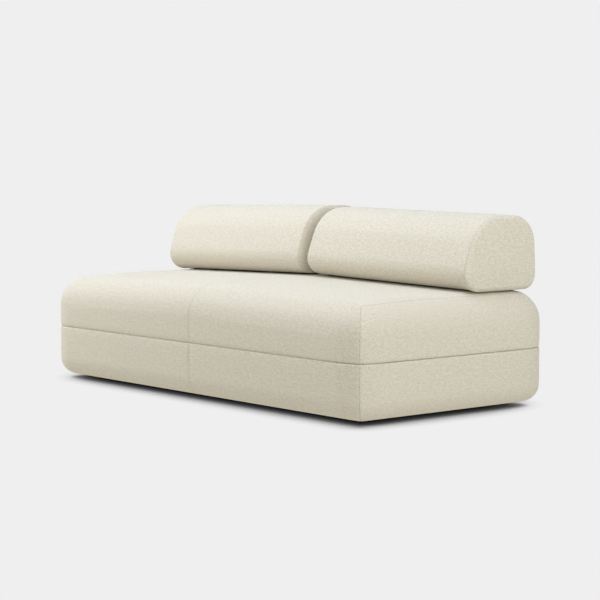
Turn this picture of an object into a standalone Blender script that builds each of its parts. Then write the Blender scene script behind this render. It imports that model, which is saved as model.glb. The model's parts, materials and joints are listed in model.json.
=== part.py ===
"""Two-tier sofa bed: a base, a seat that folds forward on the front seam, two loose bolsters.

Metres, +Z up. X runs along the sofa, the front faces -Y, and the origin lies on the floor
under the middle of the sofa.
"""

import math

import bmesh
import bpy
from mathutils import Matrix, Vector

# Overall sizes
LENGTH = 2.000
DEPTH = 0.973
GLIDE_HEIGHT = 0.008
BASE_TIER_HEIGHT = 0.210
SEAT_TIER_HEIGHT = 0.237
PLAN_RADIUS = 0.103
TOP_EDGE_RADIUS = 0.118
BOTTOM_EDGE_RADIUS = 0.086
SEAM_EDGE_RADIUS = 0.007

# The seat's crown: it falls to both ends and to the front edge
CROWN_END_FALL = 0.0204
CROWN_SOFTNESS = 0.060
FRONT_FALL = 0.012

# Sewn channel across the middle of both tiers
CHANNEL_HALF_WIDTH = 0.008
CHANNEL_DEPTH = 0.0025

# Fabric and the fits between pieces
COVER_THICKNESS = 0.003
TOUCH_GAP = 0.0003
FOAM_GAP = 0.0008
SEAT_HEM_WIDTH = 0.030
BASE_HEM_WIDTH = 0.025
DUST_CLOTH_THICKNESS = 0.0015
DUST_CLOTH_LAP = 0.004

# Timber frame of the base
RAIL_THICKNESS = 0.028
RAIL_HEIGHT = 0.085
FRAME_MARGIN = 0.004
CROSS_RAIL_COUNT = 3
CORNER_BLOCK_LEG = 0.075
CORNER_BLOCK_HEIGHT = 0.070
DECK_THICKNESS = 0.012
TIMBER_EASING = 0.002

# Foam layers of the seat
SLEEP_FOAM_THICKNESS = 0.035
TOP_FOAM_SKIRT = 0.004

# Glides
GLIDE_RADIUS = 0.024
GLIDE_FOOT_RADIUS = 0.018
GLIDE_EDGE = 0.003
GLIDE_COLUMNS = 3

# Textile hinge along the front seam
HINGE_CLEARANCE = 0.0005
HINGE_TAPE_THICKNESS = 0.0009
HINGE_TAPE_WIDTH = 0.045
HINGE_TAPE_END_MARGIN = 0.020

# Bolsters
BOLSTER_LENGTH = 0.915
BOLSTER_DEPTH = 0.380
BOLSTER_HEIGHT = 0.283
BOLSTER_GAP = 0.043
BOLSTER_REAR_SETBACK = 0.0185
BOLSTER_FRONT_LEAN = 0.032
BOLSTER_FRONT_BOTTOM_RADIUS = 0.084
BOLSTER_FRONT_TOP_RADIUS = 0.145
BOLSTER_REAR_TOP_RADIUS = 0.1195
BOLSTER_REAR_BOTTOM_RADIUS = 0.0515
BOLSTER_END_RADIUS = 0.015
BOLSTER_HEM_WIDTH = 0.030
BOLSTER_FOAM_GAP = 0.0040
BOLSTER_BOARD_THICKNESS = 0.009
BOLSTER_PANEL_THICKNESS = 0.002
MAT_THICKNESS = 0.002
MAT_MARGIN = 0.012

# Carrying a bolster over: the axis lies behind and level with the seat's rear edge
CARRY_CLEARANCE = 0.004
FLOOR_CLEARANCE = 0.002

# Facets
CORNER_STEPS = 4
EDGE_STEPS = 6
SEAM_STEPS = 2
TOP_RINGS = 3
END_STATIONS = (-0.25, 0.0, 0.25)
HALF_LENGTH_STATIONS = (0.33, 0.66)
TOP_CAP_HALF_DEPTH = 0.060
MIN_CORNER = 0.030
SQUARE_CORNER = 0.001
ARC_STEPS = 5
GLIDE_SIDES = 24
CORNER_SHARE = 0.45
SMOOTH_ANGLE = math.radians(35)

# Derived heights
SEAM_GAP = 2 * HINGE_TAPE_THICKNESS + 3 * TOUCH_GAP
BASE_BOTTOM = GLIDE_HEIGHT + DUST_CLOTH_THICKNESS + 2 * TOUCH_GAP
SEAM_Z = BASE_BOTTOM + BASE_TIER_HEIGHT
BASE_TOP = SEAM_Z - SEAM_GAP / 2
SEAT_BOTTOM = SEAM_Z + SEAM_GAP / 2
SEAT_TOP = SEAM_Z + SEAT_TIER_HEIGHT
CROWN_SLOPE = CROWN_END_FALL / (LENGTH / 2)
RAIL_BOTTOM = BASE_BOTTOM + COVER_THICKNESS + TOUCH_GAP
DECK_BOTTOM = RAIL_BOTTOM + RAIL_HEIGHT + TOUCH_GAP
DECK_TOP = DECK_BOTTOM + DECK_THICKNESS
HEM_CORNER = max(PLAN_RADIUS - BOTTOM_EDGE_RADIUS, MIN_CORNER)
FRAME_INSET = BOTTOM_EDGE_RADIUS + HEM_CORNER * (1 - math.sqrt(0.5)) + FRAME_MARGIN
HINGE_Y = -DEPTH / 2 - HINGE_CLEARANCE

# Finishes: colour and roughness
CREAM_FABRIC = ((0.66, 0.62, 0.52), 0.95)
FOAM = ((0.86, 0.83, 0.72), 0.9)
FIRM_FOAM = ((0.78, 0.80, 0.80), 0.9)
TIMBER = ((0.62, 0.45, 0.27), 0.6)
PLYWOOD = ((0.72, 0.57, 0.38), 0.6)
BLACK_PLASTIC = ((0.02, 0.02, 0.022), 0.45)
BLACK_CLOTH = ((0.03, 0.03, 0.032), 0.9)
WEBBING = ((0.52, 0.48, 0.40), 0.9)


def clear_scene():
    for item in list(bpy.data.objects):
        bpy.data.objects.remove(item, do_unlink=True)


def make_axis(name, position, parent=None):
    """An empty on a joint's axis; positions are world coordinates."""
    axis = bpy.data.objects.new(name, None)
    bpy.context.scene.collection.objects.link(axis)
    axis.parent = parent
    axis.location = Vector(position) - world_position(parent)
    return axis


def world_position(item):
    position = Vector((0, 0, 0))
    while item is not None:
        position += item.location
        item = item.parent
    return position


def make_material(name, finish):
    colour, roughness = finish
    material = bpy.data.materials.new(name)
    material.use_nodes = True
    shader = material.node_tree.nodes["Principled BSDF"]
    shader.inputs["Base Color"].default_value = (*colour, 1)
    shader.inputs["Roughness"].default_value = roughness
    shader.inputs["Metallic"].default_value = 0.0
    return material


def add_piece(name, points, faces, finish, parent=None, local=None):
    """One named solid. Points are world points, or local ones where a placing matrix is given."""
    mesh = bpy.data.meshes.new(name)
    mesh.from_pydata([tuple(point) for point in points], [], faces)
    form = bmesh.new()
    form.from_mesh(mesh)
    bmesh.ops.recalc_face_normals(form, faces=form.faces)
    form.to_mesh(mesh)
    form.free()
    mesh.shade_smooth()
    mesh.set_sharp_from_angle(angle=SMOOTH_ANGLE)
    mesh.materials.append(make_material(name, finish))
    piece = bpy.data.objects.new(name, mesh)
    bpy.context.scene.collection.objects.link(piece)
    piece.parent = parent
    placing = local or Matrix.Identity(4)
    piece.matrix_local = Matrix.Translation(-world_position(parent)) @ placing
    return piece


def add_box(name, low, high, finish, parent=None, easing=TIMBER_EASING, local=None):
    """A block between two corners with eased edges."""
    form = bmesh.new()
    bmesh.ops.create_cube(form, size=1.0)
    size = Vector(high) - Vector(low)
    middle = (Vector(high) + Vector(low)) / 2
    bmesh.ops.scale(form, vec=size, verts=form.verts)
    bmesh.ops.translate(form, vec=middle, verts=form.verts)
    bmesh.ops.bevel(form, geom=form.edges, offset=min(easing, min(size) / 3), segments=1, affect="EDGES")
    form.verts.index_update()
    points = [vertex.co.copy() for vertex in form.verts]
    faces = [[vertex.index for vertex in face.verts] for face in form.faces]
    form.free()
    return add_piece(name, points, faces, finish, parent, local)


# Rings: rounded rectangles that all pieces of a tier or a bolster are skinned over

def length_stations(half_straight, channel):
    """Places along a long side, from left to right, with three for the sewn channel."""
    outer = [part * half_straight for part in HALF_LENGTH_STATIONS]
    middle = [-CHANNEL_HALF_WIDTH, 0.0, CHANNEL_HALF_WIDTH] if channel else [0.0]
    return [-x for x in reversed(outer)] + middle + outer


def corner_arc(centre, radius, start):
    """A quarter circle in plan, starting at an angle given in quarter turns."""
    points = []
    for step in range(CORNER_STEPS + 1):
        angle = (start + step / CORNER_STEPS) * math.pi / 2
        points.append((centre[0] + radius * math.cos(angle), centre[1] + radius * math.sin(angle)))
    return points


def plan_ring(half_x, front, rear, corner, channel=False):
    """A rounded rectangle in plan: front, right end, rear and left end, anticlockwise."""
    x_in = half_x - corner
    y_front = front + corner
    y_rear = rear - corner
    along = length_stations(x_in, channel)
    middle = (y_front + y_rear) / 2
    across = [middle + part * (y_rear - y_front) for part in END_STATIONS]
    ring = [(x, front) for x in along]
    ring += corner_arc((x_in, y_front), corner, 3)
    ring += [(half_x, y) for y in across]
    ring += corner_arc((x_in, y_rear), corner, 0)
    ring += [(x, rear) for x in reversed(along)]
    ring += corner_arc((-x_in, y_rear), corner, 1)
    ring += [(-half_x, y) for y in reversed(across)]
    ring += corner_arc((-x_in, y_front), corner, 2)
    return ring


def cap_faces(first, size, channel):
    """Quads from front to rear and a polygon at each end, over one ring."""
    along = len(length_stations(1.0, channel))
    corner = CORNER_STEPS + 1
    across = len(END_STATIONS)
    rear = along + 2 * corner + across
    faces = []
    for i in range(along - 1):
        j = rear + along - 1 - i
        faces.append([first + i, first + i + 1, first + j - 1, first + j])
    faces.append([first + i for i in range(along - 1, rear + 1)])
    left = list(range(rear + along - 1, size)) + [0]
    faces.append([first + i for i in left])
    return faces


def split_quad(points, corners):
    """Two triangles across the shorter diagonal, so that nested skins fold alike."""
    a, b, c, d = corners
    if (points[a] - points[c]).length <= (points[b] - points[d]).length:
        return [[a, b, c], [a, c, d]]
    return [[a, b, d], [b, c, d]]


def skin(rings, channel=False, looped=False):
    """Points and faces over a row of rings, capped at both ends unless it loops round."""
    size = len(rings[0])
    points = [point for ring in rings for point in ring]
    count = len(rings)
    faces = []
    for k in range(count if looped else count - 1):
        low = k * size
        high = ((k + 1) % count) * size
        for i in range(size):
            j = (i + 1) % size
            faces += split_quad(points, (low + i, low + j, high + j, high + i))
    if not looped:
        faces += cap_faces(0, size, channel)
        faces += [list(reversed(face)) for face in cap_faces((count - 1) * size, size, channel)]
    return points, faces


def tier_ring(inset, height, channel_depth=0.0, lean=0.0, corner=None):
    """A ring of the seat or base, set in from the outline. Height is a number or a function of x, y.

    The sewn channel sinks the middle of the long sides: level at lean 0, downward at a quarter turn.
    """
    radius = corner or max(PLAN_RADIUS - inset, MIN_CORNER)
    half_y = DEPTH / 2 - inset
    ring = []
    for x, y in plan_ring(LENGTH / 2 - inset, -half_y, half_y, radius, channel=True):
        z = height(x, y) if callable(height) else height
        if x == 0.0:
            y -= math.copysign(channel_depth * math.cos(lean), y)
            z -= channel_depth * math.sin(lean)
        ring.append(Vector((x, y, z)))
    return ring


def crown_height(x, y):
    """Height of the seat's top surface."""
    end_fall = CROWN_SLOPE * (math.hypot(x, CROWN_SOFTNESS) - CROWN_SOFTNESS)
    front_share = max(0.0, -y / (DEPTH / 2))
    return SEAT_TOP - end_fall - FRONT_FALL * front_share ** 2


def crown_rings(offset, channel_depth=0.0):
    """Rings over the seat's crowned top and its rounded edge, from the middle outwards."""
    rings = []
    deepest = DEPTH / 2 - TOP_CAP_HALF_DEPTH
    for step in range(TOP_RINGS, 0, -1):
        inset = TOP_EDGE_RADIUS + (deepest - TOP_EDGE_RADIUS) * step / TOP_RINGS
        rings.append(tier_ring(inset, lambda x, y: crown_height(x, y) - offset, channel_depth, math.pi / 2))
    radius = TOP_EDGE_RADIUS - offset
    for step in range(EDGE_STEPS, -1, -1):
        angle = step / EDGE_STEPS * math.pi / 2
        inset = offset + radius * (1 - math.cos(angle))
        drop = offset + radius * (1 - math.sin(angle))
        rings.append(tier_ring(inset, lambda x, y, d=drop: crown_height(x, y) - d, channel_depth, angle))
    return rings


def edge_rings(offset, radius, level, upward, steps, channel_depth=0.0):
    """Rings round an edge, from the flat face at a level to the wall; the wall is above or below it."""
    rings = []
    sign = 1 if upward else -1
    bend = max(radius - offset, TOUCH_GAP)
    for step in range(steps + 1):
        angle = step / steps * math.pi / 2
        inset = offset + bend * (1 - math.sin(angle))
        height = level + sign * (offset + bend * (1 - math.cos(angle)))
        rings.append(tier_ring(inset, height, channel_depth * math.sin(angle)))
    return rings


# Base

def build_frame():
    """Rails, cross rails, corner blocks and deck of the base."""
    half_x = LENGTH / 2 - FRAME_INSET
    half_y = DEPTH / 2 - FRAME_INSET
    low = RAIL_BOTTOM
    high = RAIL_BOTTOM + RAIL_HEIGHT
    inner_x = half_x - RAIL_THICKNESS
    inner_y = half_y - RAIL_THICKNESS
    add_box("base_front_rail", (-half_x, -half_y, low), (half_x, -inner_y, high), TIMBER)
    add_box("base_rear_rail", (-half_x, inner_y, low), (half_x, half_y, high), TIMBER)
    reach = inner_y - TOUCH_GAP
    add_box("base_left_rail", (-half_x, -reach, low), (-inner_x, reach, high), TIMBER)
    add_box("base_right_rail", (inner_x, -reach, low), (half_x, reach, high), TIMBER)
    pitch = 2 * inner_x / (CROSS_RAIL_COUNT + 1)
    for number in range(1, CROSS_RAIL_COUNT + 1):
        middle = -inner_x + number * pitch
        left = middle - RAIL_THICKNESS / 2
        right = middle + RAIL_THICKNESS / 2
        add_box(f"base_cross_rail_{number}", (left, -reach, low), (right, reach, high), TIMBER)
    for side, sign_x in (("left", -1), ("right", 1)):
        for end, sign_y in (("front", -1), ("rear", 1)):
            corner = (sign_x * (inner_x - TOUCH_GAP), sign_y * (inner_y - TOUCH_GAP))
            build_corner_block(f"corner_block_{end}_{side}", corner, sign_x, sign_y)
    add_box("base_deck", (-half_x, -half_y, DECK_BOTTOM), (half_x, half_y, DECK_TOP), PLYWOOD)


def build_corner_block(name, corner, sign_x, sign_y):
    """A three-sided block glued into an inside corner of the frame."""
    top = RAIL_BOTTOM + RAIL_HEIGHT
    outline = [corner,
               (corner[0] - sign_x * CORNER_BLOCK_LEG, corner[1]),
               (corner[0], corner[1] - sign_y * CORNER_BLOCK_LEG)]
    points = [Vector((x, y, z)) for z in (top - CORNER_BLOCK_HEIGHT, top) for x, y in outline]
    faces = [(0, 1, 2), (5, 4, 3), (0, 3, 4, 1), (1, 4, 5, 2), (2, 5, 3, 0)]
    add_piece(name, points, faces, TIMBER)


def build_base_padding():
    """Foam round the frame and the mattress layer on the deck."""
    offset = COVER_THICKNESS + FOAM_GAP
    outer = edge_rings(offset, BOTTOM_EDGE_RADIUS, BASE_BOTTOM, True, EDGE_STEPS)
    top = DECK_TOP
    inner_inset = FRAME_INSET - FOAM_GAP
    rings = [tier_ring(inner_inset, BASE_BOTTOM + offset, corner=SQUARE_CORNER)]
    rings += outer
    rings.append(tier_ring(offset, top))
    rings.append(tier_ring(inner_inset, top, corner=SQUARE_CORNER))
    add_piece("base_edge_foam", *skin(rings, looped=True), FIRM_FOAM)

    mattress_top = edge_rings(offset, SEAM_EDGE_RADIUS, BASE_TOP, False, SEAM_STEPS)
    rings = mattress_top + [tier_ring(offset, DECK_TOP + TOUCH_GAP)]
    add_piece("base_mattress_foam", *skin(rings, channel=True), FOAM)


def build_base_cover():
    """Fabric over the top and sides of the base, turned in underneath."""
    hem = FRAME_INSET + RAIL_THICKNESS + BASE_HEM_WIDTH
    depth = CHANNEL_DEPTH
    rings = edge_rings(0, SEAM_EDGE_RADIUS, BASE_TOP, False, SEAM_STEPS, depth)
    rings += reversed(edge_rings(0, BOTTOM_EDGE_RADIUS, BASE_BOTTOM, True, EDGE_STEPS, depth))
    rings.append(tier_ring(hem, BASE_BOTTOM))
    rings.append(tier_ring(hem, BASE_BOTTOM + COVER_THICKNESS))
    rings += edge_rings(COVER_THICKNESS, BOTTOM_EDGE_RADIUS, BASE_BOTTOM, True, EDGE_STEPS)
    rings += reversed(edge_rings(COVER_THICKNESS, SEAM_EDGE_RADIUS, BASE_TOP, False, SEAM_STEPS))
    add_piece("base_cover", *skin(rings, channel=True), CREAM_FABRIC)

    half_x = LENGTH / 2 - FRAME_INSET + DUST_CLOTH_LAP
    half_y = DEPTH / 2 - FRAME_INSET + DUST_CLOTH_LAP
    high = BASE_BOTTOM - TOUCH_GAP
    low = high - DUST_CLOTH_THICKNESS
    add_box("base_dust_cloth", (-half_x, -half_y, low), (half_x, half_y, high), BLACK_CLOTH)


def build_glides():
    """Low plastic glides under the rails, fixed through the dust cloth."""
    row_y = DEPTH / 2 - FRAME_INSET - GLIDE_RADIUS
    row_x = LENGTH / 2 - FRAME_INSET - GLIDE_RADIUS
    for row, y in (("front", -row_y), ("rear", row_y)):
        for column in range(GLIDE_COLUMNS):
            x = row_x * (2 * column / (GLIDE_COLUMNS - 1) - 1)
            build_glide(f"glide_{row}_{column + 1}", (x, y))


def build_glide(name, centre):
    """A turned glide: a flat foot with a rounded rim that widens upwards."""
    profile = [(GLIDE_FOOT_RADIUS, 0.0), (GLIDE_FOOT_RADIUS + GLIDE_EDGE, GLIDE_EDGE),
               (GLIDE_RADIUS, GLIDE_HEIGHT - GLIDE_EDGE), (GLIDE_RADIUS, GLIDE_HEIGHT)]
    sides = GLIDE_SIDES
    points = []
    for radius, z in profile:
        for step in range(sides):
            angle = 2 * math.pi * step / sides
            x = centre[0] + radius * math.cos(angle)
            y = centre[1] + radius * math.sin(angle)
            points.append(Vector((x, y, z)))
    faces = [list(reversed(range(sides)))]
    for k in range(len(profile) - 1):
        for i in range(sides):
            j = (i + 1) % sides
            faces.append([k * sides + i, k * sides + j, (k + 1) * sides + j, (k + 1) * sides + i])
    last = (len(profile) - 1) * sides
    faces.append([last + i for i in range(sides)])
    add_piece(name, points, faces, BLACK_PLASTIC)


# Seat

def build_seat(axis):
    """Foam layers, cover and sleeping-side panel of the folding seat."""
    offset = COVER_THICKNESS + FOAM_GAP
    sleep_top = SEAT_BOTTOM + offset + SLEEP_FOAM_THICKNESS
    core_bottom = sleep_top + TOUCH_GAP
    core_top = crown_height(LENGTH / 2, -DEPTH / 2) - TOP_EDGE_RADIUS - TOP_FOAM_SKIRT
    rings = [tier_ring(offset, sleep_top)]
    rings += reversed(edge_rings(offset, SEAM_EDGE_RADIUS, SEAT_BOTTOM, True, SEAM_STEPS))
    add_piece("seat_sleep_foam", *skin(rings, channel=True), FOAM, axis)
    rings = [tier_ring(offset, core_top), tier_ring(offset, core_bottom)]
    add_piece("seat_core_foam", *skin(rings, channel=True), FIRM_FOAM, axis)
    rings = crown_rings(offset) + [tier_ring(offset, core_top + TOUCH_GAP)]
    add_piece("seat_top_foam", *skin(rings, channel=True), FOAM, axis)

    depth = CHANNEL_DEPTH
    hem = SEAM_EDGE_RADIUS + SEAT_HEM_WIDTH
    rings = crown_rings(0, depth)
    rings += reversed(edge_rings(0, SEAM_EDGE_RADIUS, SEAT_BOTTOM, True, SEAM_STEPS, depth))
    rings.append(tier_ring(hem, SEAT_BOTTOM))
    rings.append(tier_ring(hem, SEAT_BOTTOM + COVER_THICKNESS))
    rings += edge_rings(COVER_THICKNESS, SEAM_EDGE_RADIUS, SEAT_BOTTOM, True, SEAM_STEPS)
    rings += reversed(crown_rings(COVER_THICKNESS))
    add_piece("seat_cover", *skin(rings, channel=True), CREAM_FABRIC, axis)

    panel = hem + TOUCH_GAP
    rings = [tier_ring(panel, SEAT_BOTTOM + COVER_THICKNESS), tier_ring(panel, SEAT_BOTTOM)]
    add_piece("seat_sleep_panel", *skin(rings, channel=True), CREAM_FABRIC, axis)


def build_hinge(axis):
    """Two strips of webbing, one sewn to each tier, that meet on the hinge line."""
    half_x = LENGTH / 2 - PLAN_RADIUS - HINGE_TAPE_END_MARGIN
    front = HINGE_Y + HINGE_CLEARANCE + TOUCH_GAP
    rear = front + HINGE_TAPE_WIDTH
    for name, low, parent in (("hinge_tape_lower", BASE_TOP + TOUCH_GAP, None),
                              ("hinge_tape_upper", SEAM_Z + TOUCH_GAP / 2, axis)):
        high = low + HINGE_TAPE_THICKNESS
        add_box(name, (-half_x, front, low), (half_x, rear, high), WEBBING, parent)


# Bolsters

def tangent_angle(low, high):
    """Direction, as a lean from level, of the outer tangent of two circles on one side.

    A circle is its distance in from the side, its height and its radius.
    """
    inward = high[0] - low[0]
    rise = high[1] - low[1]
    return math.asin((low[2] - high[2]) / math.hypot(inward, rise)) + math.atan2(inward, rise)


def side_profile(low, high, offset, floor):
    """Points up one side of the bolster, from a floor height: the bottom round, a tangent, the top round."""
    turn = tangent_angle(low, high)
    foot = math.asin((floor - low[1]) / (low[2] - offset))
    points = []
    for (inward, centre, radius), start, end in ((low, foot, turn), (high, turn, math.pi / 2)):
        for step in range(ARC_STEPS + 1):
            angle = start + (end - start) * step / ARC_STEPS
            reach = radius - offset
            points.append((inward - reach * math.cos(angle), centre + reach * math.sin(angle)))
    return points


def bolster_rings(offset, bottom, floor):
    """Rings up a bolster from a flat floor to its ridge, in the bolster's own frame."""
    front = side_profile(
        (BOLSTER_FRONT_BOTTOM_RADIUS, BOLSTER_FRONT_BOTTOM_RADIUS, BOLSTER_FRONT_BOTTOM_RADIUS),
        (BOLSTER_FRONT_LEAN + BOLSTER_FRONT_TOP_RADIUS, BOLSTER_HEIGHT - BOLSTER_FRONT_TOP_RADIUS,
         BOLSTER_FRONT_TOP_RADIUS), offset, floor)
    rear = side_profile(
        (BOLSTER_REAR_BOTTOM_RADIUS, BOLSTER_REAR_BOTTOM_RADIUS, BOLSTER_REAR_BOTTOM_RADIUS),
        (BOLSTER_REAR_TOP_RADIUS, BOLSTER_HEIGHT - BOLSTER_REAR_TOP_RADIUS,
         BOLSTER_REAR_TOP_RADIUS), offset, floor)
    rings = []
    for (front_in, front_z), (rear_in, rear_z) in zip(front, rear):
        front_y = -BOLSTER_DEPTH / 2 + front_in
        rear_y = BOLSTER_DEPTH / 2 - rear_in
        edge = BOLSTER_END_RADIUS - offset
        below_ridge = BOLSTER_HEIGHT - offset - (front_z + rear_z) / 2
        above_floor = (front_z + rear_z) / 2 - offset
        near = min(below_ridge, above_floor, edge)
        end_inset = edge - math.sqrt(max(edge ** 2 - (edge - near) ** 2, 0.0))
        half_x = BOLSTER_LENGTH / 2 - offset - end_inset
        corner = min(max(edge, TOUCH_GAP), CORNER_SHARE * (rear_y - front_y))
        ring = []
        for x, y in plan_ring(half_x, front_y, rear_y, corner):
            share = (y - front_y) / (rear_y - front_y)
            z = bottom + front_z + (rear_z - front_z) * share
            ring.append(Vector((x, y, z)))
        rings.append(ring)
    return rings


def flat_ring(front, rear, half_x, corner, z):
    return [Vector((x, y, z)) for x, y in plan_ring(half_x, front, rear, corner)]


def build_bolster(side, sign, seat_axis):
    """One bolster with its grip mat, tilted to lie on the seat's crown."""
    middle_x = sign * (BOLSTER_GAP + BOLSTER_LENGTH) / 2
    middle_y = DEPTH / 2 - BOLSTER_REAR_SETBACK - BOLSTER_DEPTH / 2
    slope_top = SEAT_TOP + CROWN_SLOPE * CROWN_SOFTNESS + TOUCH_GAP
    middle_z = slope_top - CROWN_SLOPE * abs(middle_x)
    tilt = sign * math.atan(CROWN_SLOPE)
    placing = Matrix.Translation((middle_x, middle_y, middle_z)) @ Matrix.Rotation(tilt, 4, "Y")

    lowest = middle_z - math.sin(abs(tilt)) * BOLSTER_LENGTH / 2
    carry_y = DEPTH / 2 + CARRY_CLEARANCE
    carry_z = SEAM_Z + (lowest - FLOOR_CLEARANCE) / 2
    carry = make_axis(f"{side}_carry_axis", (middle_x, carry_y, carry_z), seat_axis)
    lift = make_axis(f"{side}_lift_axis", (middle_x, middle_y, middle_z), carry)

    underside = MAT_THICKNESS + TOUCH_GAP
    front = -BOLSTER_DEPTH / 2 + BOLSTER_FRONT_BOTTOM_RADIUS
    rear = BOLSTER_DEPTH / 2 - BOLSTER_REAR_BOTTOM_RADIUS
    half_x = BOLSTER_LENGTH / 2 - BOLSTER_END_RADIUS
    mat_low = (-half_x + MAT_MARGIN, front + MAT_MARGIN, 0.0)
    mat_high = (half_x - MAT_MARGIN, rear - MAT_MARGIN, MAT_THICKNESS)
    add_box(f"{side}_bolster_mat", mat_low, mat_high, BLACK_CLOTH, carry, local=placing)

    hem = BOLSTER_HEM_WIDTH
    corner = BOLSTER_END_RADIUS
    opening = (front + hem, rear - hem, half_x - hem, corner)
    outer = bolster_rings(0, underside, 0)
    inner = bolster_rings(COVER_THICKNESS, underside, COVER_THICKNESS)
    rings = list(reversed(outer))
    rings.append(flat_ring(*opening, underside))
    rings.append(flat_ring(*opening, underside + COVER_THICKNESS))
    rings += inner
    add_piece(f"{side}_bolster_cover", *skin(rings), CREAM_FABRIC, lift, placing)

    panel = (opening[0] + TOUCH_GAP, opening[1] - TOUCH_GAP, opening[2] - TOUCH_GAP, corner)
    panel_top = underside + BOLSTER_PANEL_THICKNESS
    rings = [flat_ring(*panel, panel_top), flat_ring(*panel, underside)]
    add_piece(f"{side}_bolster_grip_panel", *skin(rings), BLACK_CLOTH, lift, placing)

    board_bottom = underside + COVER_THICKNESS + TOUCH_GAP
    board_top = board_bottom + BOLSTER_BOARD_THICKNESS
    board = (front, rear, half_x - COVER_THICKNESS)
    add_box(f"{side}_bolster_board", (-board[2], board[0], board_bottom), (board[2], board[1], board_top),
            PLYWOOD, lift, local=placing)

    foam = bolster_rings(COVER_THICKNESS + BOLSTER_FOAM_GAP, underside, board_top + TOUCH_GAP - underside)
    add_piece(f"{side}_bolster_foam", *skin(list(reversed(foam))), FOAM, lift, placing)


def build_sofa_bed():
    clear_scene()
    build_frame()
    build_base_padding()
    build_base_cover()
    build_glides()
    seat_axis = make_axis("seat_hinge_axis", (0.0, HINGE_Y, SEAM_Z))
    build_seat(seat_axis)
    build_hinge(seat_axis)
    for side, sign in (("left", -1), ("right", 1)):
        build_bolster(side, sign, seat_axis)


build_sofa_bed()
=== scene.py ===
"""Looks of a two-tier sofa bed: tailored covers with sewn seams, hinge tape, linings and timber.

Metres, +Z up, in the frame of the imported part: X along the sofa, the front faces -Y.
The studio is a pale floor and backdrop with soft lamps.
"""

from collections import namedtuple
import json
import math

import bmesh
import bpy
import numpy as np
from mathutils import Matrix, Vector


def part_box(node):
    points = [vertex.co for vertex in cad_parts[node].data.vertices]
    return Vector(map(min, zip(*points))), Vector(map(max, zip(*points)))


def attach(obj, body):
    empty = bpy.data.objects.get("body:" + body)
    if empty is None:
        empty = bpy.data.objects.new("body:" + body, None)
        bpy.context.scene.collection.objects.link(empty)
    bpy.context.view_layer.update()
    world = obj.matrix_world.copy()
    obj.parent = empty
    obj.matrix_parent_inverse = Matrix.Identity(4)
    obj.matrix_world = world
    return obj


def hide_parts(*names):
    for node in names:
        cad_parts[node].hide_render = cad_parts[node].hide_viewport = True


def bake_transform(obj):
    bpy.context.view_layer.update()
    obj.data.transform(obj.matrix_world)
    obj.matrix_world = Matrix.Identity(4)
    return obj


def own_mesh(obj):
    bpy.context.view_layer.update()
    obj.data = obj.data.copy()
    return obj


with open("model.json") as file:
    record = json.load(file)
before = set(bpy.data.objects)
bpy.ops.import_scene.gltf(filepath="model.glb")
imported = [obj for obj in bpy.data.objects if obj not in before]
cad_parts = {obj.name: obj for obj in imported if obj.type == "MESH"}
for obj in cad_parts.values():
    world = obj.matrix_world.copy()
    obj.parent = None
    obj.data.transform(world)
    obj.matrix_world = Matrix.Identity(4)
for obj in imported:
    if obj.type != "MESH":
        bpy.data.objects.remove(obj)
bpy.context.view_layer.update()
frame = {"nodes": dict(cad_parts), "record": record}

# Plan of the two tiers, close to the solids: each corner is two shallow arcs that meet in a crease.
# Rings further in than the top edge have wider corners, up to a share of the ring's own size.
PLAN_RADIUS = 0.103
CORNER_REACH = 1.23
CORNER_TURN = math.radians(32)
LEAST_CORNER = 0.030
CORNER_OPENING = 0.55
WIDEST_CORNER = 0.70
MIDDLE_MARGIN = 0.030

# Edges of the tiers; the seat's lower edge is set back a little, which fades up its wall
TOP_EDGE_RADIUS = 0.118
BOTTOM_EDGE_RADIUS = 0.070
SEAM_EDGE_RADIUS = 0.0045
SEAT_SETBACK = 0.0020
SETBACK_FADE = 0.012

# Crown of the seat: it falls towards both ends and towards the front
CROWN_END_FALL = 0.0204
CROWN_SOFTNESS = 0.060
FRONT_FALL = 0.012

# The sleeping sides stand proud of the solids by this, so that the folded tiers lie close together
PANEL_PROUD = 0.0009

# Section of the bolsters, close to the solids
BOLSTER_LENGTH = 0.915
BOLSTER_DEPTH = 0.380
BOLSTER_HEIGHT = 0.283
BOLSTER_FRONT_LEAN = 0.032
BOLSTER_REAR_LEAN = 0.010
BOLSTER_FRONT_BOTTOM_RADIUS = 0.068
BOLSTER_FRONT_TOP_RADIUS = 0.145
BOLSTER_REAR_TOP_RADIUS = 0.108
BOLSTER_REAR_BOTTOM_RADIUS = 0.0515
BOLSTER_FRONT_BULGE = 0.011
BOLSTER_REAR_BULGE = 0.007

# Factors that make the peaks of s (1 - s) and of s s (1 - s) equal to one
MIDDLE_PEAK = 4
HIGH_PEAK = 6.75

# Left and right end of each bolster: how far in the seam lies, how far the cap stands out from it
# and over what width it rounds, and the height of its dome
End = namedtuple("End", "inset reach rounding dome")
BOLSTER_ENDS = {
    "left": (End(0.015, 0.009, 0.010, 0.010), End(0.004, 0.010, 0.034, 0.006)),
    "right": (End(0.010, 0.020, 0.034, 0.006), End(0.004, 0.012, 0.020, 0.004))}
CAP_RIM = 0.038
CAP_RINGS = 8
CAP_CENTRE_SHARE = 0.03

# How a bolster lies: its underside above the middle of its mat, the share of its height that it loses
# at its left end, and how far its lower edge sinks at most, by a share of what the seat falls away.
# The onset is the power of the hem's ramp by which the sag sets in.
BOLSTER_UNDERSIDE = 0.0013
BOLSTER_LEFT_FALL = {"left": 0.0, "right": 0.020}
BOLSTER_SAG = 0.008
SAG_SHARE = 0.7
SAG_ONSET = 3

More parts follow.
